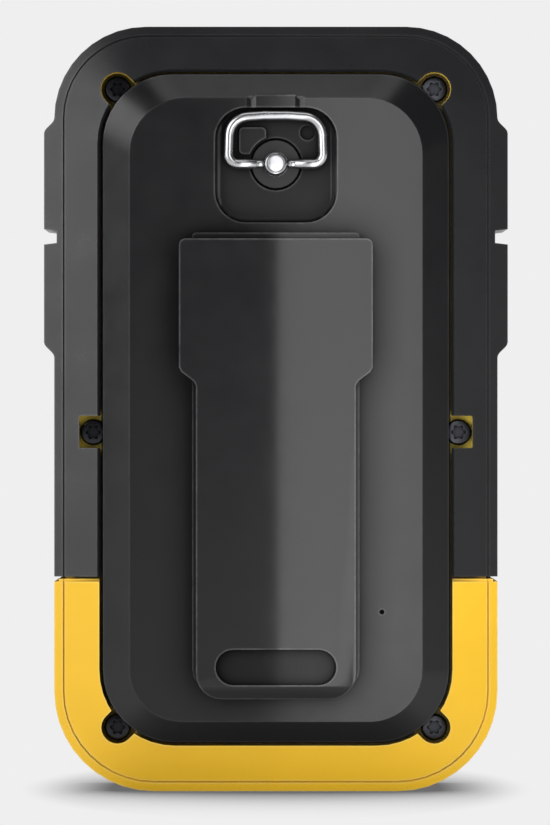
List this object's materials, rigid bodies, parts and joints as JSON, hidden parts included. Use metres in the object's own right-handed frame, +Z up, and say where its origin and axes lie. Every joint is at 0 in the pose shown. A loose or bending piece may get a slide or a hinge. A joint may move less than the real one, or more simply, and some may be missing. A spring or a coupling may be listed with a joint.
{
  "type": "handheld gps unit",
  "caption": "Rugged handheld navigation unit with rubber-clad shells, latched battery cover with folding D-ring and mounting spine, side keys, thumb stick and screen.",
  "frame": {"origin": "middle of the box around the whole unit, at the height of the surface it stands on", "axes": "+Z up along the unit's height, +Y out of the screen, -Y out of the battery cover, +X to the right when looking at the battery cover"},
  "size_m": [0.0618, 0.0306, 0.102],
  "materials": {
    "yellow_plastic": "satin, fine grain",
    "black_rubber": "matte",
    "cover_plastic": "matte, fine spark grain",
    "black_plastic": "satin",
    "grey_silicone": "matte",
    "bright_steel": "polished",
    "satin_steel": "satin",
    "dark_steel": "black oxide",
    "cell_jacket": null,
    "board_green": "solder mask",
    "antenna_ceramic": "matte ceramic",
    "ribbon_amber": "polyimide film",
    "display_glass": "display module",
    "lens_dark": "hard coated window",
    "white_plastic": "matte"
  },
  "bodies": {
    "case": {"rear_case": "yellow_plastic", "front_case": "yellow_plastic", "rear_grip": "black_rubber", "front_grip": "black_rubber", "case_seal": "grey_silicone", "cover_seal": "black_rubber", "latch_insert": "bright_steel", "aa_cell_1": "cell_jacket", "aa_cell_2": "cell_jacket", "contact_spring_1": "bright_steel", "contact_spring_2": "bright_steel", "contact_plate_1": "bright_steel", "contact_plate_2": "bright_steel", "main_board": "board_green", "rf_shield": "satin_steel", "gps_antenna": "antenna_ceramic", "beeper": "black_plastic", "backup_cell": "satin_steel", "screen_ribbon": "ribbon_amber", "lcd_module": "display_glass", "lcd_frame": "white_plastic", "screen_bezel": "black_plastic", "screen_lens": "lens_dark", "nav_switch": "black_plastic", "back_key_switch_1": "satin_steel", "menu_key_switch_1": "satin_steel", "power_key_switch_1": "satin_steel", "zoom_rocker_switch_1": "satin_steel", "zoom_rocker_switch_2": "satin_steel", "usb_socket": "satin_steel", "case_screw_1": "dark_steel", "case_screw_2": "dark_steel", "case_screw_3": "dark_steel", "case_screw_4": "dark_steel", "case_screw_5": "dark_steel", "case_screw_6": "dark_steel"},
    "battery_cover": {"battery_cover": "cover_plastic", "mounting_spine": "cover_plastic", "vent_membrane": "white_plastic"},
    "latch": {"latch_post": "bright_steel", "latch_disc": "cover_plastic", "locking_bar": "satin_steel", "latch_seal": "black_rubber"},
    "d_ring": {"d_ring": "bright_steel"},
    "zoom_rocker": {"zoom_rocker": "black_rubber"},
    "menu_key": {"menu_key": "black_rubber"},
    "back_key": {"back_key": "black_rubber"},
    "power_key": {"power_key": "black_rubber"},
    "usb_cap": {"usb_cap": "black_rubber"},
    "nav_plunger": {"nav_plunger": "satin_steel"},
    "nav_gimbal": {"nav_gimbal": "satin_steel"},
    "thumb_stick": {"thumb_stick": "black_rubber"}
  },
  "joints": [
    {"name": "cover_hinge", "type": "hinge", "parent": "case", "child": "battery_cover", "pos_m": [0, -0.0092, 0.0066], "axis": [1, 0, 0], "range_deg": [0, 75]},
    {"name": "ring_lift", "type": "hinge", "parent": "latch", "child": "d_ring", "pos_m": [0, -0.0113, 0.0836], "axis": [1, 0, 0], "range_deg": [0, 90]},
    {"name": "latch_turn", "type": "hinge", "parent": "battery_cover", "child": "latch", "pos_m": [0, -0.0113, 0.0836], "axis": [0, -1, 0], "range_deg": [0, 90]},
    {"name": "zoom_rocker_tilt", "type": "hinge", "parent": "case", "child": "zoom_rocker", "pos_m": [0.029, 0.0048, 0.0818], "axis": [0, 1, 0], "range_deg": [-4, 4], "stiffness_Nm_per_rad": 0.03},
    {"name": "menu_key_press", "type": "slide", "parent": "case", "child": "menu_key", "axis": [-1, 0, 0], "range_m": [0, 0.0006], "stiffness_N_per_m": 1200},
    {"name": "back_key_press", "type": "slide", "parent": "case", "child": "back_key", "axis": [1, 0, 0], "range_m": [0, 0.0006], "stiffness_N_per_m": 1200},
    {"name": "power_key_press", "type": "slide", "parent": "case", "child": "power_key", "axis": [1, 0, 0], "range_m": [0, 0.0006], "stiffness_N_per_m": 1200},
    {"name": "usb_cap_open", "type": "hinge", "parent": "case", "child": "usb_cap", "pos_m": [0.02957, 0.0048, 0.0304], "axis": [0, 1, 0], "range_deg": [0, 110]},
    {"name": "stick_press", "type": "slide", "parent": "case", "child": "nav_plunger", "axis": [0, -1, 0], "range_m": [0, 0.0003], "stiffness_N_per_m": 1500},
    {"name": "stick_tilt_up_down", "type": "hinge", "parent": "nav_plunger", "child": "nav_gimbal", "pos_m": [-0.015, 0.0113, 0.0886], "axis": [1, 0, 0], "range_deg": [-8, 8], "stiffness_Nm_per_rad": 0.01},
    {"name": "stick_tilt_left_right", "type": "hinge", "parent": "nav_gimbal", "child": "thumb_stick", "pos_m": [-0.015, 0.0113, 0.0886], "axis": [0, 0, 1], "range_deg": [-8, 8], "stiffness_Nm_per_rad": 0.01}
  ],
  "couplings": [
    {"joint": "latch_turn", "follows": "ring_lift", "ratio": 1}
  ]
}
